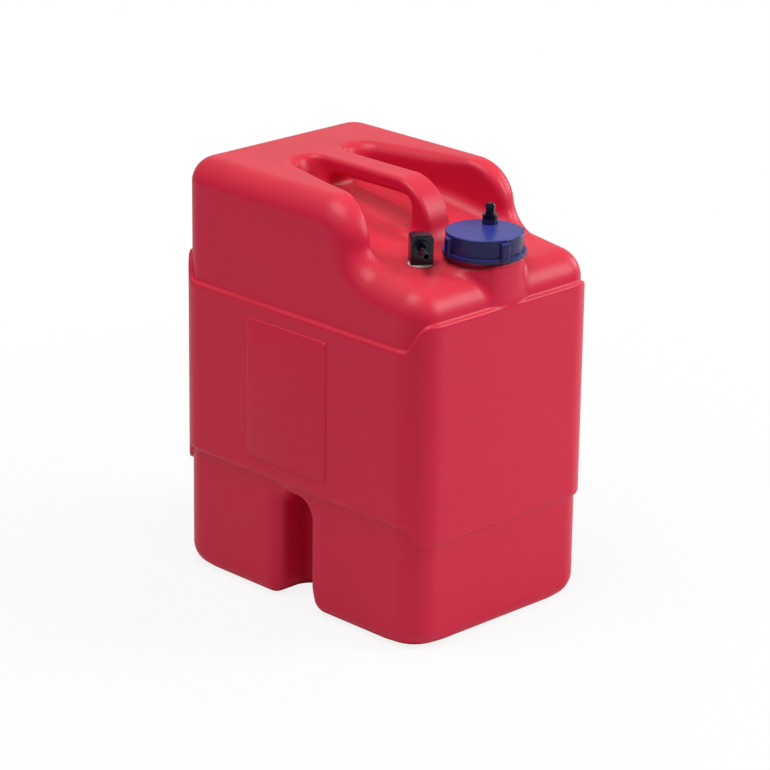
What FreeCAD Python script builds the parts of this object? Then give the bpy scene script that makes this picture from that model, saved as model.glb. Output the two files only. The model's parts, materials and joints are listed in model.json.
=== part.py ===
"""Upright moulded fuel tank for an outboard motor, with its filler cap, vent and swivelling outlet.

Millimetres, +Z up. The origin is the centre of the footprint on the ground.
The narrow face with the cap looks along -Y. The broad faces are at -X and +X.
"""
import FreeCAD, Part
import math
import os

from FreeCAD import Vector

# Tank body, outside
WIDTH = 240.0
DEPTH = 336.0
HEIGHT = 427.0
WALL = 3.5
CORNER_R = 30.0
TOP_EDGE_R = 26.0
FOOT_EDGE_R = 13.0

# Line of the top seen from the side: flat hump, steep step, sloping shoulder
STEP_TOP_Y = -66.0
STEP_TOP_R = 38.0
STEP_FOOT_Y = -78.0
SHOULDER_Z = 366.0
STEP_FOOT_R = 16.0
SHOULDER_DROP = 11.0
STEP_INSET = (0.8, 0.9)

# Raised band around the middle, higher on the narrow faces than on the broad ones
BAND_PROUD = 4.0
BAND_SIDE_Z = (126.5, 303.0)
BAND_END_Z = (107.0, 329.0)
BAND_BEND_Y = (154.0, 162.0)
BAND_BEND_R = 8.0
BAND_EDGE_R = 2.4

# Raised plain panel on each broad face
PANEL_Y = (-47.0, 63.0)
PANEL_Z = (144.5, 286.0)
PANEL_PROUD = 1.5
PANEL_R = 4.0
PANEL_ROOT = 1.0

# Strap recess at the foot of each broad face
NOTCH_HALF = 23.0
NOTCH_Y = 1.0
NOTCH_TOP_Z = 115.0
NOTCH_TOP_R = 20.0
NOTCH_DEPTH = 48.0
NOTCH_INNER_R = 15.0
NOTCH_FOOT_R = 20.0
NOTCH_LIP = 5.0
NOTCH_FOOT_Z = -0.5

# Handle bar along Y with a hand recess on each side and a gap below it
BAR_HALF = 16.0
GRIP_TOP_Z = 412.0
GRIP_FLOOR_Z = 377.0
GRIP_Y = (-50.0, 62.0)
GRIP_TOP_R = (12.0, 60.0, 9.0)
GRIP_TOP_BEND_Y = 30.0
GRIP_TOP_FALL = 9.0
GRIP_FLOOR_R = (7.0, 40.0, 20.0, 10.0)
GRIP_FLOOR_BEND_Y = (20.0, -22.0)
GRIP_FLOOR_RISE = (8.0, 3.0, 4.0)
GRIP_CLEAR = 6.0
RECESS_FLOOR_Z = 385.0
RECESS_FRONT_Z = 366.8
RECESS_RIM_X = (47.0, 68.0, 88.0)
RECESS_RIM_Y = (90.0, 22.0, -47.0)
RECESS_PLAN_R = (10.0, 16.0, 120.0, 14.0)
RECESS_OPEN_Y = -94.0
RECESS_REAR_LEAN = 22.0
RECESS_FLOOR_R = (22.0, 60.0, 40.0)
RECESS_FALL = 2.0
RECESS_RISE = 1.5

# Filler neck, its boss on the shoulder and the cap
NECK_Y = -134.5
NECK_BOSS_R = 37.0
NECK_BOSS_Z = 370.5
NECK_R = 32.6
NECK_BORE_R = 29.2
NECK_TOP_Z = 388.5
NECK_ROOT = 5.0
NECK_BORE_BELOW = 20.0
CAP_Z = (372.2, 394.4)
CAP_R = 37.5
CAP_FLANGE_R = 40.5
CAP_FLANGE_H = 4.2
CAP_BORE_R = 34.6
CAP_PLATE = 3.2
CAP_EDGE_R = 1.2
CAP_LUG_COUNT = 4
CAP_LUG_ANGLE = 163.3
CAP_LUG_WIDTH = 9.0
CAP_LUG_REACH = 42.0
CAP_LUG_H = 19.6
CAP_LUG_ROOT = 2.0
CAP_LUG_EDGE_R = 2.0

# Parts under the cap's plate
SLIP_RING_H = 0.7
GASKET_R = (29.4, 34.0)

# Vent on the cap
VENT_OFFSET = (20.0, 12.5)
VENT_BOSS_R = 7.8
VENT_BOSS_H = 4.0
VENT_BODY_R = 7.3
VENT_BODY_H = 5.5
VENT_RIBS = 18
VENT_GROOVE_R = 0.7
VENT_GROOVE_OUT = 0.2
VENT_THREAD_R = 3.6
VENT_STEM_R = 2.0
VENT_HEAD_R = 4.6
VENT_HEAD_H = 1.6
VENT_FOOT = 4.0
VENT_HEAD_GAP = 0.3
VENT_CLIP_DEEP = 0.6
VENT_CLIP_OUT = 1.4
VENT_CLIP_SLOT = 2.4
VENT_O_RING_R = 3.7
VENT_CORD_R = 0.75
VENT_SEAT_DEEP = 1.4
BAFFLE_R = 5.1
BAFFLE_H = 10.0
BAFFLE_WALL = 0.9
BAFFLE_SLOTS = 3
BAFFLE_SLOT = (1.6, 3.0)
VENT_WING_W = 10.5
VENT_WING_H = 9.6
VENT_WING_T = 3.4
VENT_WING_TURN = 25.0
VENT_WING_ROOT = 0.5
VENT_WING_TAPER = 1.5
VENT_WING_TOP_R = 3.5
VENT_WING_EDGE_R = 1.0

# Outlet on the shoulder
OUTLET_X = -51.0
OUTLET_Y = -100.0
OUTLET_PAD_R = 15.0
OUTLET_SPOT_R = 14.5
OUTLET_PAD_H = 14.0
WASHER_R = 12.2
OUTLET_PAD_Z = 363.0
OUTLET_BLOCK = (22.0, 16.0, 29.0)
OUTLET_BLOCK_R = 4.0
BLOCK_EDGE_R = 0.9
OUTLET_TURN = -36.0
OUTLET_SPIGOT_R = 5.45
BUSH_BORE_R = 5.5
BUSH_R = 8.5
BUSH_FLANGE_H = 1.2
BUSH_FLANGE_OUT = 2.0
BUSH_LENGTH = 14.0
WASHER_H = 1.4
BLOCK_CLEAR = 0.4
SPIGOT_GROOVE = (2.0, 1.2, 0.8)
SPIGOT_SEAL = (8.0, 1.6, 1.3)
SPIGOT_CORD_R = 0.6
OUTLET_CLIP_ROOM = 9.0
OUTLET_CLIP_OUT = 2.4
OUTLET_CLIP_PLAY = 0.1
OUTLET_CLIP_SLOT = 6.0
HOSE_TAIL_Z = 15.5
HOSE_TAIL_INSERT = 6.0
COLLAR_R = 8.7
COLLAR_BORE_R = 5.6
COLLAR_LENGTH = 4.0
COLLAR_INSERT = 1.5
HOSE_TAIL_R = 4.2
HOSE_TAIL_BORE_R = 2.4
HOSE_TAIL_ROOT_R = 3.8
HOSE_TAIL_LENGTH = 24.0
HOSE_TAIL_BARBS = 3
HOSE_BARB = 4.5
HOSE_BARB_DEEP = 0.8
PICKUP_R = 4.0
PICKUP_BORE_R = 3.0
PICKUP_INSERT = 5.0
PICKUP_LIFT = 8.0
STRAINER_R = 7.5
STRAINER_Z = (7.0, 33.0)
STRAINER_WALL = 1.2
STRAINER_FLOOR = 1.5
STRAINER_HEAD = 6.0
STRAINER_WINDOW = 5.2
STRAINER_WINDOWS = 3
MESH_T = 0.5

RUNNING_GAP = 0.05
FAR = 40.0


def in_yz(x):
    """Place outline points (y, z) in the plane at this x."""
    return lambda a, b: Vector(x, a, b)


def in_xy(z):
    """Place outline points (x, y) in the plane at this z."""
    return lambda a, b: Vector(a, b, z)


def rounded_face(corners, place):
    """Face whose corners (a, b, radius) are rounded by tangent arcs."""
    count = len(corners)
    ends = []
    for i, (a, b, radius) in enumerate(corners):
        here = Vector(a, b, 0)
        before = Vector(corners[i - 1][0], corners[i - 1][1], 0)
        after = Vector(corners[(i + 1) % count][0], corners[(i + 1) % count][1], 0)
        back = (before - here).normalize()
        ahead = (after - here).normalize()
        half = back.getAngle(ahead) / 2
        if radius <= 0:
            ends.append((here, here, here))
            continue
        reach = radius / math.tan(half)
        middle = here + (back + ahead).normalize() * (radius / math.sin(half) - radius)
        ends.append((here + back * reach, middle, here + ahead * reach))
    edges = []
    for i, (start, middle, end) in enumerate(ends):
        if start.distanceToPoint(end) > 1e-6:
            edges.append(Part.Arc(place(start.x, start.y), place(middle.x, middle.y),
                                  place(end.x, end.y)).toShape())
        following = ends[(i + 1) % count][0]
        if end.distanceToPoint(following) > 1e-6:
            edges.append(Part.LineSegment(place(end.x, end.y), place(following.x, following.y)).toShape())
    return Part.Face(Part.Wire(edges))


def rounded_plan(half_x, half_y, radius, z0, z1):
    """Upright prism on a rounded rectangle."""
    corners = [(-half_x, -half_y, radius), (half_x, -half_y, radius),
               (half_x, half_y, radius), (-half_x, half_y, radius)]
    return rounded_face(corners, in_xy(z0)).extrude(Vector(0, 0, z1 - z0))


def tube(radius, bore, z0, z1, x=0.0, y=0.0):
    """Upright ring or, with no bore, an upright disc."""
    solid = Part.makeCylinder(radius, z1 - z0, Vector(x, y, z0))
    if bore > 0:
        solid = solid.cut(Part.makeCylinder(bore, z1 - z0, Vector(x, y, z0)))
    return solid


def outlet_tube(radius, bore, z0, z1):
    """Upright ring or disc on the outlet's axis."""
    return tube(radius, bore, z0, z1, OUTLET_X, OUTLET_Y)


def edges_where(shape, test):
    """Edges whose middle point passes the test."""
    found = []
    for edge in shape.Edges:
        middle = edge.valueAt((edge.FirstParameter + edge.LastParameter) / 2)
        if test(middle, edge.BoundBox):
            found.append(edge)
    return found


def on_plan_wall(point, half_x, half_y, radius):
    """True where a point lies on the side of a rounded rectangle."""
    dx = max(abs(point.x) - (half_x - radius), 0.0)
    dy = max(abs(point.y) - (half_y - radius), 0.0)
    return abs(math.hypot(dx, dy) - radius) < 1e-3


def core(inset):
    """Tank without its band: a rounded column cut to the line of its top, edges rounded."""
    half_x = WIDTH / 2 - inset
    half_y = DEPTH / 2 - inset
    radius = CORNER_R - inset
    column = rounded_plan(half_x, half_y, radius, inset, HEIGHT + FAR)
    front = -DEPTH / 2 - FAR
    slope = SHOULDER_DROP / (DEPTH / 2 + STEP_FOOT_Y)
    outline = [(DEPTH / 2 + FAR, -FAR, 0), (DEPTH / 2 + FAR, HEIGHT - inset, 0),
               (STEP_TOP_Y + STEP_INSET[0] * inset, HEIGHT - inset, STEP_TOP_R - inset),
               (STEP_FOOT_Y + STEP_INSET[1] * inset, SHOULDER_Z - inset, STEP_FOOT_R + inset),
               (front, SHOULDER_Z - inset - slope * (STEP_FOOT_Y - front), 0), (front, -FAR, 0)]
    below = rounded_face(outline, in_yz(-WIDTH)).extrude(Vector(2 * WIDTH, 0, 0))
    body = column.common(below)

    def top_rim(point, box):
        upright = box.XLength < 1e-3 and box.YLength < 1e-3
        return point.z > BAND_END_Z[1] and not upright and on_plan_wall(point, half_x, half_y, radius)

    body = body.makeFillet(TOP_EDGE_R - inset, edges_where(body, top_rim))

    def foot_rim(point, box):
        return box.ZLength < 1e-3 and abs(point.z - inset) < 1e-3

    return body.makeFillet(FOOT_EDGE_R - inset, edges_where(body, foot_rim))


def band(inset):
    """Raised band whose two edges step along S-bends at the corners."""
    half_x = WIDTH / 2 + BAND_PROUD - inset
    half_y = DEPTH / 2 + BAND_PROUD - inset
    radius = CORNER_R + BAND_PROUD - inset
    far_y = DEPTH / 2 + FAR
    low_side, high_side = BAND_SIDE_Z[0] + inset, BAND_SIDE_Z[1] - inset
    low_end, high_end = BAND_END_Z[0] + inset, BAND_END_Z[1] - inset
    near, beyond = BAND_BEND_Y
    outline = [(-far_y, low_end, 0), (-beyond, low_end, BAND_BEND_R), (-near, low_side, BAND_BEND_R),
               (near, low_side, BAND_BEND_R), (beyond, low_end, BAND_BEND_R), (far_y, low_end, 0),
               (far_y, high_end, 0), (beyond, high_end, BAND_BEND_R), (near, high_side, BAND_BEND_R),
               (-near, high_side, BAND_BEND_R), (-beyond, high_end, BAND_BEND_R), (-far_y, high_end, 0)]
    zone = rounded_face(outline, in_yz(-WIDTH)).extrude(Vector(2 * WIDTH, 0, 0))
    ring = rounded_plan(half_x, half_y, radius, 0, HEIGHT).common(zone)

    def rim(point, box):
        upright = box.XLength < 1e-3 and box.YLength < 1e-3
        return not upright and on_plan_wall(point, half_x, half_y, radius)

    return ring.makeFillet(BAND_EDGE_R, edges_where(ring, rim))


def neck_boss(inset):
    """Round boss under the neck that runs down the front face into the band."""
    return tube(NECK_BOSS_R - inset, 0, BAND_END_Z[1] - FAR, NECK_BOSS_Z - inset, 0, NECK_Y)


def side_panel(side):
    """Thin raised plain panel on a broad face, with slanted walls."""
    outer = side * (WIDTH / 2 + BAND_PROUD + PANEL_PROUD)
    root = side * (WIDTH / 2 + BAND_PROUD - PANEL_ROOT)
    flare = PANEL_PROUD

    def outline(grow, x):
        front, rear = PANEL_Y[0] - grow, PANEL_Y[1] + grow
        low, high = PANEL_Z[0] - grow, PANEL_Z[1] + grow
        corners = [(front, low, PANEL_R), (rear, low, PANEL_R), (rear, high, PANEL_R), (front, high, PANEL_R)]
        return rounded_face(corners, in_yz(x)).OuterWire

    return Part.makeLoft([outline(0, outer), outline(flare, root)], True, True)


def notch(side, grow):
    """Strap recess at the foot of a broad face, open below, with a flared mouth."""
    half = NOTCH_HALF + grow
    top = NOTCH_TOP_Z + grow
    foot_r = NOTCH_FOOT_R - grow

    def outline(lip, x):
        wide = half + lip
        front, rear = NOTCH_Y - wide, NOTCH_Y + wide
        beyond = wide + FAR
        foot = NOTCH_FOOT_Z + grow
        top_r = NOTCH_TOP_R + grow
        corners = [(front, top + lip, top_r), (front, foot, foot_r), (front - beyond, foot, 0),
                   (front - beyond, -FAR, 0), (rear + beyond, -FAR, 0), (rear + beyond, foot, 0),
                   (rear, foot, foot_r), (rear, top + lip, top_r)]
        return rounded_face(corners, in_yz(x))

    face_x = side * WIDTH / 2
    inner_x = side * (WIDTH / 2 - NOTCH_DEPTH - grow)
    hollow = outline(0, inner_x).extrude(Vector(side * (NOTCH_DEPTH + grow + FAR), 0, 0))

    def inner_rim(point, box):
        return abs(point.x - inner_x) < 1e-3 and point.z > 1.0 + grow

    hollow = hollow.makeFillet(NOTCH_INNER_R, edges_where(hollow, inner_rim))
    mouth = Part.makeLoft([outline(0, face_x - side * NOTCH_LIP).OuterWire,
                           outline(NOTCH_LIP, face_x).OuterWire,
                           outline(NOTCH_LIP + 1.0, face_x + side * 1.0).OuterWire], True, True)
    return hollow.fuse(mouth)


def hand_recess(side, grow):
    """Scoop beside the handle bar, open towards the shoulder."""
    bar = BAR_HALF - grow
    rear_x, mid_x, front_x = [x + grow for x in RECESS_RIM_X]
    rear_y, mid_y, front_y = RECESS_RIM_Y
    round_bar, round_rear, round_mid, round_front = RECESS_PLAN_R
    lean = RECESS_REAR_LEAN
    round_low, round_slope, round_foot = RECESS_FLOOR_R
    open_y = STEP_FOOT_Y - FAR
    plan = [(bar, rear_y + grow, round_bar), (rear_x, rear_y + grow, round_rear), (mid_x, mid_y, round_mid),
            (front_x, front_y, round_front),
            (WIDTH / 2 + FAR, RECESS_OPEN_Y, 0), (WIDTH / 2 + FAR, open_y, 0), (bar, open_y, 0)]
    plan = [(side * x, y, r) for x, y, r in plan]
    prism = rounded_face(plan, in_xy(0)).extrude(Vector(0, 0, HEIGHT + FAR))
    floor = RECESS_FLOOR_Z - grow
    front = RECESS_FRONT_Z - grow
    line = [(rear_y + lean + grow, HEIGHT + 2 * FAR, 0), (rear_y - lean + grow, floor, round_low),
            (0, floor - RECESS_FALL, round_slope), (STEP_FOOT_Y, front, round_foot),
            (open_y, front + RECESS_RISE, 0), (open_y, HEIGHT + 2 * FAR, 0)]
    above = rounded_face(line, in_yz(-WIDTH)).extrude(Vector(2 * WIDTH, 0, 0))
    return prism.common(above)


def hand_gap(grow):
    """Gap right through under the handle bar."""
    front, rear = GRIP_Y[0] - grow, GRIP_Y[1] + grow
    top, floor = GRIP_TOP_Z + grow, GRIP_FLOOR_Z - grow
    front_r, bend_r, rear_r = GRIP_TOP_R
    low_rear_r, low_bend_r, low_mid_r, low_front_r = GRIP_FLOOR_R
    rear_rise, bend_rise, front_rise = GRIP_FLOOR_RISE
    outline = [(front, top, front_r), (GRIP_TOP_BEND_Y, top, bend_r), (rear, top - GRIP_TOP_FALL, rear_r),
               (rear, floor + rear_rise, low_rear_r), (GRIP_FLOOR_BEND_Y[0], floor + bend_rise, low_bend_r),
               (GRIP_FLOOR_BEND_Y[1], floor, low_mid_r), (front, floor + front_rise, low_front_r)]
    half = BAR_HALF + GRIP_CLEAR
    return rounded_face(outline, in_yz(-half)).extrude(Vector(2 * half, 0, 0))


def tank_form(inset):
    """Whole outside of the tank, or with an inset the hollow inside it."""
    body = core(inset).fuse(band(inset)).fuse(neck_boss(inset))
    for side in (-1, 1):
        body = body.cut(hand_recess(side, inset))
        body = body.cut(notch(side, inset))
    return body.cut(hand_gap(inset))


def tank_shell():
    """Hollow moulding with its neck and the thick boss for the outlet."""
    body = tank_form(0)
    for side in (-1, 1):
        body = body.fuse(side_panel(side))
    hollow = tank_form(WALL)
    body = body.fuse(outlet_tube(OUTLET_PAD_R, 0, OUTLET_PAD_Z - OUTLET_PAD_H + WALL / 2, OUTLET_PAD_Z))
    body = body.fuse(tube(NECK_R, 0, NECK_BOSS_Z - NECK_ROOT, NECK_TOP_Z, 0, NECK_Y))
    hollow = hollow.cut(outlet_tube(OUTLET_PAD_R, 0, OUTLET_PAD_Z - OUTLET_PAD_H, OUTLET_PAD_Z))
    hollow = hollow.fuse(tube(NECK_BORE_R, 0, NECK_BOSS_Z - NECK_BORE_BELOW, NECK_TOP_Z + 1, 0, NECK_Y))
    body = body.cut(hollow)
    body = body.cut(outlet_tube(OUTLET_SPOT_R, 0, OUTLET_PAD_Z, HEIGHT))
    return body.cut(outlet_tube(BUSH_R, 0, OUTLET_PAD_Z - OUTLET_PAD_H - WALL, OUTLET_PAD_Z + 1))


def filler_cap():
    """Cap with a flange at its foot, upright lugs round its side and a boss for the vent."""
    bottom, top = CAP_Z
    cap = tube(CAP_R, 0, bottom, top, 0, NECK_Y)
    cap = cap.makeFillet(CAP_EDGE_R, edges_where(cap, lambda point, box: abs(box.ZMin - top) < 1e-3
                                                 and abs(box.ZMax - top) < 1e-3))
    cap = cap.fuse(tube(CAP_FLANGE_R, 0, bottom, bottom + CAP_FLANGE_H, 0, NECK_Y))
    for i in range(CAP_LUG_COUNT):
        lug = Part.makeBox(CAP_LUG_REACH - CAP_BORE_R - CAP_LUG_ROOT, CAP_LUG_WIDTH, CAP_LUG_H,
                           Vector(CAP_BORE_R + CAP_LUG_ROOT, -CAP_LUG_WIDTH / 2, bottom))
        outer_edges = edges_where(lug, lambda point, box: point.x > CAP_LUG_REACH - 1e-3)
        lug = lug.makeFillet(CAP_LUG_EDGE_R, outer_edges)
        lug.rotate(Vector(0, 0, 0), Vector(0, 0, 1), CAP_LUG_ANGLE + i * 360.0 / CAP_LUG_COUNT)
        lug.translate(Vector(0, NECK_Y, 0))
        cap = cap.fuse(lug)
    vent_x, vent_y = vent_axis()
    cap = cap.fuse(tube(VENT_BOSS_R, 0, top - 1, top + VENT_BOSS_H, vent_x, vent_y))
    cap = cap.cut(tube(CAP_BORE_R, 0, bottom - 1, top - CAP_PLATE, 0, NECK_Y))
    return cap.cut(tube(VENT_THREAD_R, 0, bottom, top + VENT_BOSS_H + 1, vent_x, vent_y))


def vent_axis():
    """Place of the vent on the cap."""
    return VENT_OFFSET[0], NECK_Y + VENT_OFFSET[1]


def under_plate_z():
    """Height of the underside of the cap's plate."""
    return CAP_Z[1] - CAP_PLATE


def cap_slip_ring():
    """Thin ring that lets the cap turn without dragging its gasket round."""
    return tube(GASKET_R[1], GASKET_R[0], under_plate_z() - SLIP_RING_H, under_plate_z(), 0, NECK_Y)


def cap_gasket():
    """Flat rubber ring that seals on the rim of the neck."""
    return tube(GASKET_R[1], GASKET_R[0], NECK_TOP_Z, under_plate_z() - SLIP_RING_H, 0, NECK_Y)


def vent_body():
    """Ribbed collar screwed into the cap, with the seat that the vent screw closes."""
    x, y = vent_axis()
    base = CAP_Z[1] + VENT_BOSS_H
    body = tube(VENT_BODY_R, 0, base, base + VENT_BODY_H, x, y)
    for i in range(VENT_RIBS):
        angle = 2 * math.pi * i / VENT_RIBS
        reach = VENT_BODY_R + VENT_GROOVE_OUT
        foot = Vector(x + reach * math.cos(angle), y + reach * math.sin(angle), base + VENT_GROOVE_R)
        groove = Part.makeCylinder(VENT_GROOVE_R, VENT_BODY_H - 2 * VENT_GROOVE_R, foot)
        body = body.cut(groove)
    body = body.fuse(tube(VENT_THREAD_R, 0, CAP_Z[1] - CAP_PLATE, base, x, y))
    body = body.cut(tube(VENT_STEM_R + RUNNING_GAP, 0, 0, HEIGHT, x, y))
    seat = tube(VENT_O_RING_R + 0.3, 0, base + VENT_BODY_H - VENT_SEAT_DEEP, HEIGHT, x, y)
    return body.cut(seat)


def vent_knob():
    """Stem, head and thumb wing of the vent screw."""
    x, y = vent_axis()
    top = CAP_Z[1] + VENT_BOSS_H + VENT_BODY_H
    foot = under_plate_z() - VENT_FOOT
    stem = tube(VENT_STEM_R, 0, foot, top + VENT_HEAD_GAP, x, y)
    stem = stem.cut(tube(VENT_STEM_R + 1, VENT_STEM_R - VENT_CLIP_DEEP, foot + 1.0, foot + 2.0, x, y))
    head = tube(VENT_HEAD_R, 0, top + VENT_HEAD_GAP, top + VENT_HEAD_GAP + VENT_HEAD_H, x, y)
    low = top + VENT_HEAD_GAP + VENT_HEAD_H - VENT_WING_ROOT
    foot_half = VENT_WING_W / 2 - VENT_WING_TAPER
    tip_half = VENT_WING_W / 2
    tip = low + VENT_WING_H
    outline = [(-foot_half, low, 0), (foot_half, low, 0), (tip_half, tip, VENT_WING_TOP_R),
               (-tip_half, tip, VENT_WING_TOP_R)]
    wing = rounded_face(outline, in_yz(-VENT_WING_T / 2)).extrude(Vector(VENT_WING_T, 0, 0))
    wing = wing.makeFillet(VENT_WING_EDGE_R, edges_where(wing, lambda point, box: point.z > low + 2))
    wing.rotate(Vector(0, 0, 0), Vector(0, 0, 1), VENT_WING_TURN)
    wing.translate(Vector(x, y, 0))
    return stem.fuse(head).fuse(wing)


def vent_o_ring():
    """Round seal under the head of the vent screw."""
    x, y = vent_axis()
    z = CAP_Z[1] + VENT_BOSS_H + VENT_BODY_H + VENT_HEAD_GAP - VENT_CORD_R
    return Part.makeTorus(VENT_STEM_R + VENT_CORD_R + RUNNING_GAP, VENT_CORD_R, Vector(x, y, z))


def vent_clip():
    """Retaining clip in the groove at the foot of the vent screw."""
    x, y = vent_axis()
    foot = under_plate_z() - VENT_FOOT
    clip = tube(VENT_STEM_R + VENT_CLIP_OUT, VENT_STEM_R - VENT_CLIP_DEEP, foot + 1.1, foot + 1.9, x, y)
    slot = Part.makeBox(VENT_CLIP_OUT + VENT_STEM_R + 1, VENT_CLIP_SLOT, 2,
                        Vector(x, y - VENT_CLIP_SLOT / 2, foot + 0.5))
    return clip.cut(slot)


def vent_baffle():
    """Shallow cup pressed on the underside of the cap, which keeps fuel out of the vent."""
    x, y = vent_axis()
    top = under_plate_z()
    cup = tube(BAFFLE_R, 0, top - BAFFLE_H, top, x, y)
    cup = cup.cut(tube(BAFFLE_R - BAFFLE_WALL, 0, top - BAFFLE_H + 1, top, x, y))
    wide, tall = BAFFLE_SLOT
    for i in range(BAFFLE_SLOTS):
        slot = Part.makeBox(BAFFLE_R + 1, wide, tall, Vector(0, -wide / 2, 0))
        slot.rotate(Vector(0, 0, 0), Vector(0, 0, 1), i * 360.0 / BAFFLE_SLOTS)
        slot.translate(Vector(x, y, top - BAFFLE_H + 2))
        cup = cup.cut(slot)
    return cup


def outlet_bush():
    """Flanged bush pressed into the tank's boss, in which the outlet turns."""
    z = OUTLET_PAD_Z
    bush = outlet_tube(BUSH_R, 0, z - BUSH_LENGTH, z).fuse(
        outlet_tube(BUSH_R + BUSH_FLANGE_OUT, 0, z, z + BUSH_FLANGE_H))
    return bush.cut(outlet_tube(BUSH_BORE_R, 0, z - BUSH_LENGTH - 1, z + BUSH_FLANGE_H + 1))


def outlet_washer():
    """Pale ring round the flange of the bush, on which the outlet's block turns."""
    z = OUTLET_PAD_Z
    return outlet_tube(WASHER_R, BUSH_R + BUSH_FLANGE_OUT, z, z + WASHER_H)


def outlet_turned(shape):
    """Turn a shape drawn with its hose tail towards -Y to the way the outlet points."""
    shape.rotate(Vector(0, 0, 0), Vector(0, 0, 1), OUTLET_TURN)
    shape.translate(Vector(OUTLET_X, OUTLET_Y, 0))
    return shape


def outlet_low_z():
    """Underside of the outlet's block, just clear of the washer."""
    return OUTLET_PAD_Z + BUSH_FLANGE_H + BLOCK_CLEAR


def spigot_foot_z():
    """Lower end of the outlet's spigot, inside the tank."""
    return OUTLET_PAD_Z - BUSH_LENGTH - OUTLET_CLIP_ROOM


def outlet_axis_z():
    """Height of the hose tail's axis."""
    return outlet_low_z() + HOSE_TAIL_Z


def outlet_body():
    """Upright block with a collar for the hose tail and a hollow spigot below."""
    wide, deep, tall = OUTLET_BLOCK
    low = outlet_low_z()
    top = low + tall
    axis_z = outlet_axis_z()
    half = wide / 2
    corners = [(-half, low, BLOCK_EDGE_R), (half, low, BLOCK_EDGE_R), (half, top, OUTLET_BLOCK_R),
               (-half, top, OUTLET_BLOCK_R)]
    face = rounded_face(corners, lambda a, b: Vector(a, -deep / 2, b))
    block = face.extrude(Vector(0, deep, 0))
    block = block.makeFillet(BLOCK_EDGE_R, edges_where(block, lambda point, box: box.YLength < 1e-3))

    def forward(radius, length, start):
        return Part.makeCylinder(radius, length, Vector(0, start, axis_z), Vector(0, -1, 0))

    collar = forward(COLLAR_R, COLLAR_LENGTH, COLLAR_INSERT - deep / 2)
    collar = collar.cut(forward(COLLAR_BORE_R, COLLAR_LENGTH, -deep / 2))
    block = block.fuse(collar)
    spigot_foot = spigot_foot_z()
    block = block.fuse(tube(OUTLET_SPIGOT_R, 0, spigot_foot, low + 1))
    below, height, depth = SPIGOT_GROOVE
    groove_z = OUTLET_PAD_Z - BUSH_LENGTH - below
    block = block.cut(tube(OUTLET_SPIGOT_R + 1, OUTLET_SPIGOT_R - depth, groove_z, groove_z + height))
    below, height, depth = SPIGOT_SEAL
    seal_z = OUTLET_PAD_Z - below
    seal = tube(OUTLET_SPIGOT_R + 1, OUTLET_SPIGOT_R - depth, seal_z - height / 2, seal_z + height / 2)
    block = block.cut(seal)
    block = block.cut(tube(PICKUP_BORE_R, 0, spigot_foot - 1, axis_z))
    block = block.cut(tube(PICKUP_R, 0, spigot_foot - 1, spigot_foot + PICKUP_INSERT))
    block = block.cut(forward(HOSE_TAIL_ROOT_R, deep / 2, HOSE_TAIL_INSERT - deep / 2))
    block = block.cut(forward(HOSE_TAIL_BORE_R, deep / 2, 0))
    return outlet_turned(block)


def hose_tail():
    """Tail for the fuel hose: a plain seat for a hose clip, then barbs cut into the wall."""
    axis_z = outlet_axis_z()
    root = HOSE_TAIL_INSERT - OUTLET_BLOCK[1] / 2
    seat = -OUTLET_BLOCK[1] / 2 - COLLAR_LENGTH + COLLAR_INSERT
    tip = -OUTLET_BLOCK[1] / 2 - HOSE_TAIL_LENGTH
    first = tip + HOSE_TAIL_BARBS * HOSE_BARB
    valley = HOSE_TAIL_R - HOSE_BARB_DEEP
    outline = [(root, HOSE_TAIL_BORE_R), (root, HOSE_TAIL_ROOT_R), (seat, HOSE_TAIL_ROOT_R),
               (seat, HOSE_TAIL_R), (first + HOSE_BARB_DEEP, HOSE_TAIL_R), (first, valley)]
    for i in range(HOSE_TAIL_BARBS):
        start = first - i * HOSE_BARB
        outline.append((start, HOSE_TAIL_R - 0.02))
        outline.append((start - HOSE_BARB, valley))
    outline += [(tip, HOSE_TAIL_BORE_R), (root, HOSE_TAIL_BORE_R)]
    points = [Vector(0, y, r) for y, r in outline]
    tail = Part.Face(Part.makePolygon(points)).revolve(Vector(0, 0, 0), Vector(0, 1, 0), 360)
    tail.translate(Vector(0, 0, axis_z))
    return outlet_turned(tail)


def outlet_o_ring():
    """Round seal in the groove of the outlet's spigot."""
    return Part.makeTorus(OUTLET_SPIGOT_R - SPIGOT_CORD_R - RUNNING_GAP, SPIGOT_CORD_R,
                          Vector(OUTLET_X, OUTLET_Y, OUTLET_PAD_Z - SPIGOT_SEAL[0]))


def outlet_clip():
    """Spring clip under the bush that keeps the outlet from pulling out."""
    below, height, depth = SPIGOT_GROOVE
    z = OUTLET_PAD_Z - BUSH_LENGTH - below + OUTLET_CLIP_PLAY
    thick = height - 2 * OUTLET_CLIP_PLAY
    clip = outlet_tube(OUTLET_SPIGOT_R + OUTLET_CLIP_OUT, OUTLET_SPIGOT_R - depth, z, z + thick)
    slot = Part.makeBox(2 * OUTLET_SPIGOT_R, OUTLET_CLIP_SLOT, 3,
                        Vector(OUTLET_X, OUTLET_Y - OUTLET_CLIP_SLOT / 2, z - 1))
    return clip.cut(slot)


def pickup_tube():
    """Tube that draws fuel from near the floor of the tank."""
    top = spigot_foot_z() + PICKUP_INSERT
    return outlet_tube(PICKUP_R, PICKUP_BORE_R, STRAINER_Z[0] + PICKUP_LIFT, top)


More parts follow.
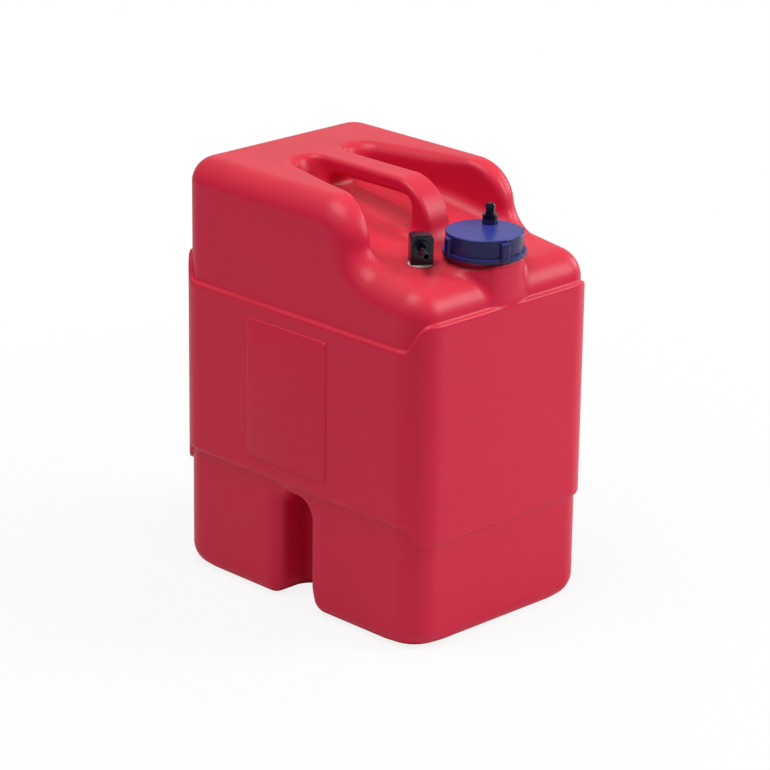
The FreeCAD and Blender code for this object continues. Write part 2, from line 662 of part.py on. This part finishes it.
def strainer_cage():
    """Slotted cage pressed on the foot of the pick-up tube."""
    low, high = STRAINER_Z
    cage = outlet_tube(STRAINER_R, 0, low, high)
    inner = STRAINER_R - STRAINER_WALL
    cage = cage.cut(outlet_tube(inner, 0, low + STRAINER_FLOOR, high - STRAINER_HEAD))
    cage = cage.cut(outlet_tube(PICKUP_R, 0, high - PICKUP_LIFT, high + 1))
    tall = high - low - 2 * STRAINER_HEAD
    reach = STRAINER_R + 2
    for i in range(STRAINER_WINDOWS):
        window = Part.makeBox(2 * reach, STRAINER_WINDOW, tall,
                              Vector(-reach, -STRAINER_WINDOW / 2, low + STRAINER_HEAD / 2))
        window.rotate(Vector(0, 0, 0), Vector(0, 0, 1), i * 180.0 / STRAINER_WINDOWS)
        window.translate(Vector(OUTLET_X, OUTLET_Y, 0))
        cage = cage.cut(window)
    return cage


def strainer_mesh():
    """Fine mesh sleeve inside the cage, as a thin plain tube."""
    low, high = STRAINER_Z
    outer = STRAINER_R - STRAINER_WALL
    return outlet_tube(outer, outer - MESH_T, low + STRAINER_FLOOR, high - STRAINER_HEAD)


PIECES = {
    "tank_shell": tank_shell,
    "filler_cap": filler_cap,
    "cap_slip_ring": cap_slip_ring,
    "cap_gasket": cap_gasket,
    "vent_body": vent_body,
    "vent_knob": vent_knob,
    "vent_o_ring": vent_o_ring,
    "vent_clip": vent_clip,
    "vent_baffle": vent_baffle,
    "outlet_bush": outlet_bush,
    "outlet_washer": outlet_washer,
    "outlet_body": outlet_body,
    "hose_tail": hose_tail,
    "outlet_o_ring": outlet_o_ring,
    "outlet_clip": outlet_clip,
    "pickup_tube": pickup_tube,
    "strainer_cage": strainer_cage,
    "strainer_mesh": strainer_mesh,
}


if __name__ == "__main__":
    os.makedirs("parts", exist_ok=True)
    for name, make in PIECES.items():
        shape = make()
        print(name, shape.ShapeType, "valid" if shape.isValid() else "NOT VALID",
              len(shape.Solids), "solid", round(shape.Volume / 1000, 3), "ml")
        shape.Solids[0].exportStep("parts/" + name + ".step")
    print("inside", round(tank_form(WALL).Volume / 1e6, 2), "litres")
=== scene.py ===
"""Looks of the upright fuel tank: skin of the moulded tank, finishes, camera, floor and light."""

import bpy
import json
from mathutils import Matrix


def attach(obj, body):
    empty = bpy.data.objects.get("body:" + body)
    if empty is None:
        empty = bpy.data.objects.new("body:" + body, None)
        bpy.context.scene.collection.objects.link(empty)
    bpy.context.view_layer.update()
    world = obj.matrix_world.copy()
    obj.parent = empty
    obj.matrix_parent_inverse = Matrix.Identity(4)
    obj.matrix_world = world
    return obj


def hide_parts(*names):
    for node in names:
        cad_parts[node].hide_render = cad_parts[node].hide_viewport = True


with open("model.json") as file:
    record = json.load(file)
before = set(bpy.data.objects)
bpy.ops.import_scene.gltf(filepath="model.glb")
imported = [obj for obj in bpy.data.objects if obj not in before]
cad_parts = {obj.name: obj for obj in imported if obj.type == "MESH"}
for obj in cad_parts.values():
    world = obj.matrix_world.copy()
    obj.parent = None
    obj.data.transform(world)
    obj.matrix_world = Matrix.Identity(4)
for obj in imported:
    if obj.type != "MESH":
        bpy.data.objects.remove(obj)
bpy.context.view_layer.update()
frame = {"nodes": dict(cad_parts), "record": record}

import json
import math

import bmesh
import bpy
import numpy as np
from mathutils import Matrix, Vector

MM = 0.001

# Tank body, the same driving sizes as its solid, in millimetres. The foot's edge is rounded more
# towards the four corners, between the two places given for x and for y. The step's points are (y, z).
HALF_X = 120.0
HALF_Y = 168.0
HEIGHT = 427.0
CORNER_R = 30.0
TOP_EDGE_R = 26.0
FOOT_EDGE_R = 13.0
FOOT_CORNER_R = 8.0
FOOT_CORNER_X = (70.0, 115.0)
FOOT_CORNER_Y = (118.0, 163.0)
STEP_TOP = (-66.0, 427.0)
STEP_FOOT = (-78.0, 366.0)
STEP_TOP_R = 38.0
STEP_FOOT_R = 18.0
SHOULDER_SLOPE = 11.0 / 90.0

# Raised band and panels. The panel's section is pairs of growth outwards and lift off the band.
BAND_PROUD = 4.0
BAND_SIDE_Z = (126.5, 303.0)
BAND_END_Z = (107.0, 329.0)
BAND_BEND_Y = (149.0, 167.0)
BAND_EDGE_R = 3.0
BAND_FILLET = 2.0
PANEL_Y = (-47.0, 63.0)
PANEL_Z = (144.5, 286.0)
PANEL_PROUD = 1.5
PANEL_CORNER_R = 4.0
PANEL_CORNER_STEPS = 6
PANEL_SECTION = ((1.6, -0.6), (1.2, 0.15), (0.35, PANEL_PROUD - 0.25), (-0.5, PANEL_PROUD))

# Strap recess at the foot of each broad face. Its lip is rounded from the first radius to the
# second, towards the foot and towards the rear.
NOTCH_HALF = 23.0
NOTCH_Y = 1.0
NOTCH_TOP_Z = 115.0
NOTCH_TOP_R = 20.0
NOTCH_DEPTH = 48.0
NOTCH_BACK_R = 15.0
LIP_R = (7.0, 16.0)
LIP_FOOT_Z = (30.0, 0.0)
LIP_REAR_Y = (NOTCH_Y, NOTCH_Y + 20.0)

# Handle bar, the gap under it and the hand recesses beside it. The gap's floor and the recess's
# rear wall are lines through two points (y, z), and the recess's outer wall through two points (x, y).
BAR_HALF = 16.0
GAP_Y = (-50.0, 62.0)
GAP_Z = (374.0, 412.0)
GAP_CORNER_R = 11.0
GAP_FLOOR = ((40.0, 391.0), (-50.0, 376.0))
GAP_FLOOR_R = 8.0
GAP_PAST_BAR = 12.0
GAP_RIM_R = 4.0
RECESS_OUTER = ((47.0, 90.0), (83.0, -47.0))
RECESS_REAR = ((90.0, 434.0), (68.0, 385.0))
RECESS_FLOOR_Z = (384.5, 366.8)
RECESS_FLOOR_Y = (6.0, -86.0)
RECESS_PLAN_R = 9.0
RECESS_REAR_R = 24.0
RECESS_FLOOR_R = 15.0
RIM_R = 4.5
RIM_SIDE_X = (24.0, 54.0)
RIM_SIDE_GROW = (2.5, 7.0)
RIM_REAR_Y = (-40.0, 10.0)

# Neck and the boss below it
NECK_Y = -134.5
NECK_R = 32.6
NECK_TOP_Z = 388.5
NECK_TOP_R = 1.0
NECK_ROOT_Z = 340.0
NECK_FILLET = 2.0
NECK_BORE_R = 29.2
NECK_BORE_FOOT_Z = 320.0
BOSS_R = 38.6
BOSS_Z = (BAND_END_Z[1] - 7.0, 370.5)
BOSS_EDGE_R = 4.0
BOSS_FRONT_Y = -171.8
BOSS_FRONT_R = 6.0
BOSS_FILLET = (5.0, 11.0)
BOSS_FILLET_Y = (-165.0, -135.0)

# Pad of the outlet, with a flat spot on it
OUTLET = (-51.0, -100.0)
PAD_R = 15.0
PAD_Z = 363.0
PAD_EDGE_R = 1.5
PAD_ROOT_Z = 340.0
PAD_FILLET = 6.0
SPOT_R = 14.5
SPOT_EDGE_R = 0.6

# Space inside, kept clear of the skin
INSIDE_HALF = (60.0, 150.0)
INSIDE_CORNER_R = 20.0
INSIDE_Z = (6.0, 330.0)

# Mesh of the skin: its cells, the box it lies in, and how its points settle on the surface
CELL = 2.2
SKIN_LOW = (-132, -180, -8)
SKIN_HIGH = (132, 180, 436)
SETTLE_ROUNDS = 4
SETTLE_REACH = 1.0
SLOPE_STEP = 0.05
LEAST_SLOPE = 0.25

# Camera, fitted to the edges of the tank in the photograph, in millimetres. Its reach is in metres.
CAMERA_AT = (-2256.65, -2281.83, 1342.06)
CAMERA_TO = (2.66, 0.0, 202.08)
CAMERA_ROLL = math.radians(0.795)
CAMERA_LENS = 160.02
CAMERA_SENSOR = 36.0
CAMERA_REACH = 50.0

# Floor and world: sizes in metres, greys and light as shares of white
FLOOR_HALF = 6.0
FLOOR_DROP = 0.0002
FLOOR_GREY = 0.82
FLOOR_ROUGH = 0.9
FLOOR_WHITE = (0.85, 1.0)
FLOOR_WHITE_FROM = (0.3, 0.9)
WORLD_LIGHT = 0.24

# Lamps: place and aim in metres, width in metres, watts
LAMPS = {
    "key": ((1.75, -1.9, 1.8), (0, 0, 0.27), 1.4, 54),
    "top": ((-0.6, 0.0, 2.5), (0, 0, 0.35), 1.4, 38),
    "fill": ((-2.0, 0.6, 1.9), (0, 0, 0.35), 1.0, 4.0),
    "right": ((2.4, -0.2, 0.9), (0, -0.13, 0.38), 0.8, 10),
    "back": ((1.7, 1.9, 1.35), (0, 0, 0.4), 1.8, 3.2),
}

# Unevenness of every plastic: scale, detail and roughness of each noise, and depths in metres
PATCH_NOISE = (14.0, 3.0, 0.55)
SMEAR_NOISE = (60.0, 4.0, 0.6)
WAVE_NOISE = (22.0, 2.0, 0.4)
GRAIN_NOISE = (900.0, 2.0, 0.5)
WAVE_DEPTH = 0.004
GRAIN_DEPTH = 0.0003
GLOSS_SPREAD = 0.05
PATCH_EDGES = (0.35, 0.65)
# Painted light: heights of the normal over which the painted shade of upright faces gives way to the
# painted sheen of level faces
PAINTED_LIGHT_NORMAL_Z = (0.2, 0.9)

# Finish of each material slot: colour, the colour of upright faces where it differs (painted light: painted
# shade on the sides against a painted sheen on level faces), roughness, strength of the waves and of the
# grain, and what else differs from a plain plastic
FINISHES = {
    # Red: the lighter colour on level faces is a painted sheen, the side colour is the plain red
    "tank_red": {"colour": (0.66, 0.036, 0.062), "side": (0.62, 0.011, 0.050), "rough": 0.36,
                 "waves": 0.10, "grain": 0.12, "specular": 0.22},
    # Cap: the dark navy side colour is painted shade on its upright faces, the blue colour is its top
    "cap_blue": {"colour": (0.030, 0.040, 0.25), "side": (0.016, 0.011, 0.085), "rough": 0.26,
                 "waves": 0.05, "grain": 0.10, "specular": 0.3},
    "navy_plastic": {"colour": (0.004, 0.003, 0.013), "rough": 0.2, "waves": 0.05, "grain": 0.08,
                     "tint": 0.2, "specular": 0.4},
    "nylon_pale": {"colour": (0.72, 0.70, 0.64), "rough": 0.45, "waves": 0.02, "grain": 0.08},
    "seal_rubber": {"colour": (0.02, 0.02, 0.022), "rough": 0.65, "waves": 0.02, "grain": 0.15},
    "spring_steel": {"colour": (0.55, 0.55, 0.56), "rough": 0.30, "waves": 0.02, "grain": 0.06,
                     "metal": 1.0},
}


def round_max(a, b, r):
    """Where both fields are negative, with the edge between them rounded to radius r."""
    return np.minimum(np.maximum(a, b), -r) + np.hypot(np.maximum(a + r, 0), np.maximum(b + r, 0))


def round_min(a, b, r):
    """Where either field is negative, with the corner between them filled to radius r."""
    return np.maximum(np.minimum(a, b), r) - np.hypot(np.maximum(r - a, 0), np.maximum(r - b, 0))


def ease(t):
    """Smooth rise from 0 to 1."""
    t = np.clip(t, 0, 1)
    return t * t * (3 - 2 * t)


def rise(value, ends):
    """Smooth rise from 0 to 1 while a value goes from one end to the other."""
    return ease((value - ends[0]) / (ends[1] - ends[0]))


def mixed(pair, share):
    """First of a pair at share 0, second at share 1."""
    return pair[0] + (pair[1] - pair[0]) * share


def plan_field(x, y, half_x, half_y, r):
    """Distance to a rounded rectangle in two directions."""
    dx = np.abs(x) - (half_x - r)
    dy = np.abs(y) - (half_y - r)
    return np.hypot(np.maximum(dx, 0), np.maximum(dy, 0)) + np.minimum(np.maximum(dx, dy), 0) - r


def round_field(x, y, centre, r):
    """Distance to a circle in plan."""
    return np.hypot(x - centre[0], y - centre[1]) - r


def line_field(a, b, start, end):
    """Distance to a line through two points, positive on its left going from start to end."""
    along = (end[0] - start[0], end[1] - start[1])
    length = math.hypot(*along)
    return ((b - start[1]) * along[0] - (a - start[0]) * along[1]) / length


def core_field(x, y, z):
    """Column cut to the hump, the step and the shoulder."""
    step = line_field(y, z, STEP_FOOT, STEP_TOP)
    hump = round_max(z - HEIGHT, step, STEP_TOP_R)
    slope = SHOULDER_SLOPE
    shoulder = (z - STEP_FOOT[1] + slope * (STEP_FOOT[0] - y)) / math.hypot(1, slope)
    top = round_min(hump, shoulder, STEP_FOOT_R)
    body = round_max(plan_field(x, y, HALF_X, HALF_Y, CORNER_R), top, TOP_EDGE_R)
    corner = rise(np.abs(x), FOOT_CORNER_X) * rise(np.abs(y), FOOT_CORNER_Y)
    return round_max(body, -z, FOOT_EDGE_R + FOOT_CORNER_R * corner)


def band_field(x, y, z):
    """Raised band whose edges step along S-bends at the corners."""
    near, beyond = BAND_BEND_Y
    t = np.clip((np.abs(y) - near) / (beyond - near), 0, 1)
    # How fast the bend rises per millimetre: the derivative of ease(t)
    steep = 6 * t * (1 - t) / (beyond - near)
    lows, highs = zip(BAND_SIDE_Z, BAND_END_Z)
    over = (z - mixed(highs, ease(t))) / np.hypot(1, steep * (highs[1] - highs[0]))
    under = (mixed(lows, ease(t)) - z) / np.hypot(1, steep * (lows[0] - lows[1]))
    plan = plan_field(x, y, HALF_X + BAND_PROUD, HALF_Y + BAND_PROUD, CORNER_R + BAND_PROUD)
    return round_max(plan, np.maximum(over, under), BAND_EDGE_R)


def recess_field(x, y, z):
    """Hand recess beside the bar, on either side."""
    side = np.abs(x)
    plan = round_max(BAR_HALF - side, line_field(side, y, *RECESS_OUTER), RECESS_PLAN_R)
    floor_z = mixed(RECESS_FLOOR_Z, rise(y, RECESS_FLOOR_Y))
    above = round_max(floor_z - z, line_field(y, z, *RECESS_REAR), RECESS_REAR_R)
    return round_max(plan, above, RECESS_FLOOR_R)


def recess_rim(x, y):
    """Radius of a hand recess's rim: wider away from the bar, most of all towards the rear."""
    return RIM_R + mixed(RIM_SIDE_GROW, rise(y, RIM_REAR_Y)) * rise(np.abs(x), RIM_SIDE_X)


def gap_field(x, y, z):
    """Gap under the bar."""
    middle_y = sum(GAP_Y) / 2
    middle_z = sum(GAP_Z) / 2
    half_y = (GAP_Y[1] - GAP_Y[0]) / 2
    half_z = (GAP_Z[1] - GAP_Z[0]) / 2
    outline = plan_field(y - middle_y, z - middle_z, half_y, half_z, GAP_CORNER_R)
    outline = round_max(outline, line_field(y, z, *GAP_FLOOR), GAP_FLOOR_R)
    return np.maximum(outline, np.abs(x) - BAR_HALF - GAP_PAST_BAR)


def notch_field(x, y, z):
    """Strap recess at the foot of each broad face."""
    outline = round_max(np.abs(y - NOTCH_Y) - NOTCH_HALF, z - NOTCH_TOP_Z, NOTCH_TOP_R)
    return round_max(outline, HALF_X - NOTCH_DEPTH - np.abs(x), NOTCH_BACK_R)


def notch_lip(y, z):
    """Radius of the strap recess's lip: wider at the foot and along its rear side."""
    return mixed(LIP_R, np.maximum(rise(z, LIP_FOOT_Z), rise(y, LIP_REAR_Y)))


def boss_field(x, y, z):
    """Round boss below the neck, flattened where it meets the front."""
    boss = round_max(round_field(x, y, (0, NECK_Y), BOSS_R), BOSS_FRONT_Y - y, BOSS_FRONT_R)
    return round_max(boss, np.maximum(z - BOSS_Z[1], BOSS_Z[0] - z), BOSS_EDGE_R)


def pad_field(x, y, z):
    """Round pad below the outlet."""
    pad = round_max(round_field(x, y, OUTLET, PAD_R), z - PAD_Z, PAD_EDGE_R)
    return np.maximum(pad, PAD_ROOT_Z - z)


def neck_field(x, y, z):
    """Outside of the neck."""
    neck = round_max(round_field(x, y, (0, NECK_Y), NECK_R), z - NECK_TOP_Z, NECK_TOP_R)
    return np.maximum(neck, NECK_ROOT_Z - z)


def hollow_field(x, y, z):
    """Bore of the neck and the space inside the tank."""
    bore = np.maximum(round_field(x, y, (0, NECK_Y), NECK_BORE_R), NECK_BORE_FOOT_Z - z)
    plan = plan_field(x, y, *INSIDE_HALF, INSIDE_CORNER_R)
    inside = np.maximum(plan, np.maximum(z - INSIDE_Z[1], INSIDE_Z[0] - z))
    return np.minimum(bore, inside)


def tank_field(x, y, z):
    """Distance to the skin of the whole tank."""
    body = core_field(x, y, z)
    body = round_min(body, boss_field(x, y, z), mixed(BOSS_FILLET, rise(y, BOSS_FILLET_Y)))
    body = round_min(body, pad_field(x, y, z), PAD_FILLET)
    spot = np.maximum(round_field(x, y, OUTLET, SPOT_R), PAD_Z - z)
    body = round_max(body, -spot, SPOT_EDGE_R)
    body = round_max(body, -recess_field(x, y, z), recess_rim(x, y))
    body = round_max(body, -gap_field(x, y, z), GAP_RIM_R)
    body = round_min(body, band_field(x, y, z), BAND_FILLET)
    body = round_max(body, -notch_field(x, y, z), notch_lip(y, z))
    body = round_min(body, neck_field(x, y, z), NECK_FILLET)
    return np.maximum(body, -hollow_field(x, y, z))


CORNERS = [(i, j, k) for i in (0, 1) for j in (0, 1) for k in (0, 1)]
EDGES = [(a, b) for a in CORNERS for b in CORNERS
         if a < b and sum(p != q for p, q in zip(a, b)) == 1]
RING = ((0, 0), (-1, 0), (-1, -1), (0, -1))
OTHER_AXES = ((1, 2), (2, 0), (0, 1))


def crossed_cells(inside):
    """Grid cells that the surface crosses, and the number of each in a grid (-1 elsewhere)."""
    cells = tuple(n - 1 for n in inside.shape)
    count = np.zeros(cells, np.int8)
    for i, j, k in CORNERS:
        count += inside[i:i + cells[0], j:j + cells[1], k:k + cells[2]]
    crossed = (count > 0) & (count < len(CORNERS))
    at = np.argwhere(crossed)
    index = np.full(cells, -1, np.int64)
    index[crossed] = np.arange(len(at))
    return at, index


def cell_points(value, at):
    """Mean of the points where the surface cuts a cell's edges, in cells."""
    total = np.zeros((len(at), 3))
    hits = np.zeros(len(at))
    for a, b in EDGES:
        start, end = np.array(a), np.array(b)
        at_start = value[tuple((at + start).T)]
        at_end = value[tuple((at + end).T)]
        cut = (at_start < 0) != (at_end < 0)
        t = np.where(cut, at_start / np.where(cut, at_start - at_end, 1), 0)
        total += np.where(cut[:, None], start + t[:, None] * (end - start), 0)
        hits += cut
    return at + total / hits[:, None]


def axis_faces(inside, index, axis):
    """Faces that join the four cells round each grid edge along one axis that the surface cuts."""
    near = [slice(None)] * 3
    far = [slice(None)] * 3
    near[axis] = slice(0, -1)
    far[axis] = slice(1, None)
    starts = np.argwhere(inside[tuple(near)] != inside[tuple(far)])
    u, v = OTHER_AXES[axis]
    within = (starts[:, u] < index.shape[u]) & (starts[:, v] < index.shape[v])
    starts = starts[(starts[:, u] > 0) & (starts[:, v] > 0) & within]
    outward = inside[tuple(near)][tuple(starts.T)]
    ring = []
    for du, dv in RING:
        cell = starts.copy()
        cell[:, u] += du
        cell[:, v] += dv
        ring.append(index[tuple(cell.T)])
    quads = np.stack(ring, axis=1)
    quads[~outward] = quads[~outward][:, ::-1]
    return quads


def field_step(field, points):
    """Move from each point to the field's zero surface."""
    x, y, z = points.T
    d = SLOPE_STEP
    slope_x = field(x + d, y, z) - field(x - d, y, z)
    slope_y = field(x, y + d, z) - field(x, y - d, z)
    slope_z = field(x, y, z + d) - field(x, y, z - d)
    slope = np.stack([slope_x, slope_y, slope_z], axis=1) / (2 * d)
    size = np.maximum((slope ** 2).sum(axis=1), LEAST_SLOPE)
    step = (field(x, y, z) / size)[:, None] * slope
    return np.clip(step, -SETTLE_REACH, SETTLE_REACH)


def surface_mesh(name, field, low, high, step):
    """Mesh of a field's zero surface: one point in each cell it crosses, moved on to the surface."""
    axes = [np.arange(a, b + step, step) for a, b in zip(low, high)]
    grid = np.meshgrid(*axes, indexing="ij", sparse=True)
    value = field(*grid).astype(np.float32)
    inside = value < 0
    at, index = crossed_cells(inside)
    points = np.array(low) + step * cell_points(value, at)
    faces = [axis_faces(inside, index, axis) for axis in range(3)]
    for _ in range(SETTLE_ROUNDS):
        points -= field_step(field, points)
    return mesh_object(name, points * MM, np.concatenate(faces))


def placed(name, mesh):
    """Object of a mesh, smooth shaded, in the scene."""
    mesh.polygons.foreach_set("use_smooth", [True] * len(mesh.polygons))
    piece = bpy.data.objects.new(name, mesh)
    bpy.context.collection.objects.link(piece)
    return piece


def mesh_object(name, points, faces):
    """Object from points in metres and faces."""
    mesh = bpy.data.meshes.new(name)
    mesh.from_pydata([tuple(p) for p in points], [], [tuple(f) for f in faces])
    mesh.update()
    return placed(name, mesh)


def panel_ring(build, side, grow, lift):
    """Rounded rectangle of points round a panel: grown outwards, and lifted off the band."""
    r = PANEL_CORNER_R
    low_y, high_y = PANEL_Y[0] + r, PANEL_Y[1] - r
    low_z, high_z = PANEL_Z[0] + r, PANEL_Z[1] - r
    out_x = side * (HALF_X + BAND_PROUD + lift)
    ring = []
    for quarter, centre in enumerate(((high_y, high_z), (low_y, high_z), (low_y, low_z), (high_y, low_z))):
        for i in range(PANEL_CORNER_STEPS + 1):
            angle = math.radians(90 * (quarter + i / PANEL_CORNER_STEPS))
            y = centre[0] + (r + grow) * math.cos(angle)
            z = centre[1] + (r + grow) * math.sin(angle)
            ring.append(build.verts.new([v * MM for v in (out_x, y, z)]))
    return ring


def side_panel(name, side):
    """Thin raised panel with slanted walls on a broad face."""
    build = bmesh.new()
    loops = [panel_ring(build, side, grow, lift) for grow, lift in PANEL_SECTION]
    count = len(loops[0])
    for lower, upper in zip(loops, loops[1:]):
        for i in range(count):
            j = (i + 1) % count
            build.faces.new((lower[i], lower[j], upper[j], upper[i]))
    build.faces.new(loops[-1])
    bmesh.ops.recalc_face_normals(build, faces=build.faces)
    mesh = bpy.data.meshes.new(name)
    build.to_mesh(mesh)
    build.free()
    return placed(name, mesh)


def node_with(tree, kind, **values):
    """New node of a material, with values for its named inputs (an underscore stands for a space)."""
    node = tree.nodes.new(kind)
    for key, value in values.items():
        node.inputs[key.replace("_", " ")].default_value = value
    return node


def noise(tree, where, settings):
    """Noise on the object's own coordinates, as a node's output."""
    scale, detail, rough = settings
    texture = node_with(tree, "ShaderNodeTexNoise", Scale=scale, Detail=detail, Roughness=rough)
    tree.links.new(where.outputs["Object"], texture.inputs["Vector"])
    return texture.outputs["Fac"]


def ranged(tree, value, ends=(0.0, 1.0), results=(0.0, 1.0)):
    """Value mapped from its ends to the results, as a node's output."""
    node = node_with(tree, "ShaderNodeMapRange", From_Min=ends[0], From_Max=ends[1],
                     To_Min=results[0], To_Max=results[1])
    tree.links.new(value, node.inputs["Value"])
    return node.outputs["Result"]


def bump(tree, height, strength, depth, below=None):
    """Relief from a height, on top of the relief below it, as a node's output."""
    node = node_with(tree, "ShaderNodeBump", Strength=strength, Distance=depth)
    tree.links.new(height, node.inputs["Height"])
    if below:
        tree.links.new(below, node.inputs["Normal"])
    return node.outputs["Normal"]


def patchy(tree, where, colour, tint):
    """Colour that wanders a little darker and lighter over the surface."""
    ramp = tree.nodes.new("ShaderNodeValToRGB")
    for stop, edge, share in zip(ramp.color_ramp.elements, PATCH_EDGES, (1 - tint, 1 + tint)):
        stop.position = edge
        stop.color = (*[min(1.0, c * share) for c in colour], 1)
    tree.links.new(noise(tree, where, PATCH_NOISE), ramp.inputs["Fac"])
    return ramp.outputs["Color"]


def painted_light_by_facing(tree, where, colour, side):
    """Colour as given on level faces, and the side colour on upright ones: painted light, with a painted
    sheen on level faces and painted shade on upright ones.
    """
    split = tree.nodes.new("ShaderNodeSeparateXYZ")
    tree.links.new(where.outputs["Normal"], split.inputs["Vector"])
    blend = tree.nodes.new("ShaderNodeMix")
    blend.data_type = "RGBA"
    # This node repeats its socket names for every kind of data, so the colour ones go by number
    share, under, over = blend.inputs[0], blend.inputs[6], blend.inputs[7]
    under.default_value = (*side, 1)
    tree.links.new(ranged(tree, split.outputs["Z"], PAINTED_LIGHT_NORMAL_Z), share)
    tree.links.new(colour, over)
    return blend.outputs[2]


def plastic(name, colour, rough, waves, grain, tint=0.06, specular=0.5, side=None, metal=0.0):
    """Moulded plastic: slight unevenness of colour and gloss, a broad waviness and a fine grain, and, where
    a side colour is given, painted shade on upright faces against a painted sheen on level ones.
    """
    material = bpy.data.materials.new(name)
    material.use_nodes = True
    tree = material.node_tree
    shader = tree.nodes["Principled BSDF"]
    shader.inputs["Specular IOR Level"].default_value = specular
    shader.inputs["Metallic"].default_value = metal
    where = tree.nodes.new("ShaderNodeTexCoord")
    paint = patchy(tree, where, colour, tint)
    # Painted light: upright faces darker as painted shade, level faces lighter as painted sheen
    if side:
        paint = painted_light_by_facing(tree, where, paint, side)
    smear = noise(tree, where, SMEAR_NOISE)
    gloss = ranged(tree, smear, results=(rough - GLOSS_SPREAD, rough + GLOSS_SPREAD))
    relief = bump(tree, noise(tree, where, WAVE_NOISE), waves, WAVE_DEPTH)
    relief = bump(tree, noise(tree, where, GRAIN_NOISE), grain, GRAIN_DEPTH, relief)
    tree.links.new(paint, shader.inputs["Base Color"])
    tree.links.new(gloss, shader.inputs["Roughness"])
    tree.links.new(relief, shader.inputs["Normal"])
    return material


def dress(piece, material):
    """Give a piece one material."""
    piece.data.materials.clear()
    piece.data.materials.append(material)


def add_camera():
    """Camera at the photograph's place, with its slight roll."""
    camera = bpy.data.objects.new("camera", bpy.data.cameras.new("camera"))
    bpy.context.collection.objects.link(camera)
    place = Vector(CAMERA_AT) * MM
    ahead = (Vector(CAMERA_TO) * MM - place).normalized()
    right = ahead.cross(Vector((0, 0, 1))).normalized()
    up = right.cross(ahead)
    c, s = math.cos(CAMERA_ROLL), math.sin(CAMERA_ROLL)
    side = c * right + s * up
    top = c * up - s * right
    turn = Matrix((side, top, -ahead)).transposed().to_4x4()
    camera.matrix_world = Matrix.Translation(place) @ turn
    camera.data.lens = CAMERA_LENS
    camera.data.sensor_width = CAMERA_SENSOR
    camera.data.clip_end = CAMERA_REACH
    bpy.context.scene.camera = camera


def camera_mix(tree, for_light, for_camera, share=None):
    """Shader for all light, with another in the camera's own rays, by a share that is 1 if not given."""
    ray = tree.nodes.new("ShaderNodeLightPath")
    amount = ray.outputs["Is Camera Ray"]
    if share:
        product = tree.nodes.new("ShaderNodeMath")
        product.operation = "MULTIPLY"
        tree.links.new(amount, product.inputs[0])
        tree.links.new(share, product.inputs[1])
        amount = product.outputs["Value"]
    mix = tree.nodes.new("ShaderNodeMixShader")
    tree.links.new(amount, mix.inputs["Fac"])
    tree.links.new(for_light, mix.inputs[1])
    tree.links.new(for_camera, mix.inputs[2])
    return mix.outputs["Shader"]


def floor_material():
    """Pale floor that reads as white in the camera's own rays, more so away from the tank."""
    material = bpy.data.materials.new("floor")
    material.use_nodes = True
    tree = material.node_tree
    shader = tree.nodes["Principled BSDF"]
    shader.inputs["Base Color"].default_value = (FLOOR_GREY, FLOOR_GREY, FLOOR_GREY, 1)
    shader.inputs["Roughness"].default_value = FLOOR_ROUGH
    white = node_with(tree, "ShaderNodeEmission", Strength=1.0)
    where = tree.nodes.new("ShaderNodeTexCoord")
    distance = tree.nodes.new("ShaderNodeVectorMath")
    distance.operation = "LENGTH"
    tree.links.new(where.outputs["Object"], distance.inputs[0])
    share = ranged(tree, distance.outputs["Value"], FLOOR_WHITE_FROM, FLOOR_WHITE)
    look = camera_mix(tree, shader.outputs["BSDF"], white.outputs["Emission"], share)
    tree.links.new(look, tree.nodes["Material Output"].inputs["Surface"])
    return material


def add_floor():
    """Wide level floor just under the tank."""
    half = FLOOR_HALF
    corners = [(x, y, -FLOOR_DROP) for x, y in ((-half, -half), (half, -half), (half, half), (-half, half))]
    floor = mesh_object("floor", corners, [(0, 1, 2, 3)])
    dress(floor, floor_material())


def add_world():
    """Soft even light all round, and plain white behind the floor in the camera's own rays."""
    world = bpy.data.worlds.new("world")
    world.use_nodes = True
    bpy.context.scene.world = world
    tree = world.node_tree
    soft = tree.nodes["Background"]
    soft.inputs["Strength"].default_value = WORLD_LIGHT
    soft.inputs["Color"].default_value = (1, 1, 1, 1)
    bright = node_with(tree, "ShaderNodeBackground", Color=(1, 1, 1, 1))
    look = camera_mix(tree, soft.outputs["Background"], bright.outputs["Background"])
    tree.links.new(look, tree.nodes["World Output"].inputs["Surface"])


def add_lamp(name, at, to, size, watts):
    """Square soft lamp aimed at a point."""
    lamp = bpy.data.objects.new(name, bpy.data.lights.new(name, "AREA"))
    lamp.data.size = size
    lamp.data.energy = watts
    lamp.location = at
    lamp.rotation_euler = (Vector(to) - Vector(at)).to_track_quat("-Z", "Y").to_euler()
    bpy.context.collection.objects.link(lamp)


def add_tank(material):
    """Skin and panels of the tank, which ride on its body."""
    skin = surface_mesh("tank_skin", tank_field, SKIN_LOW, SKIN_HIGH, CELL)
    panels = [side_panel("side_panel_left", -1), side_panel("side_panel_right", 1)]
    for piece in (skin, *panels):
        dress(piece, material)
        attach(piece, "tank")
    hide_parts("tank_shell")


bpy.context.scene.view_settings.view_transform = "Standard"
add_camera()
add_floor()
add_world()
for name, lamp in LAMPS.items():
    add_lamp(name, *lamp)

finishes = {name: plastic(name, **values) for name, values in FINISHES.items()}
add_tank(finishes["tank_red"])
for part in frame["record"]["subparts"]:
    dress(frame["nodes"][part["node"]], finishes[part["material_slot"]])
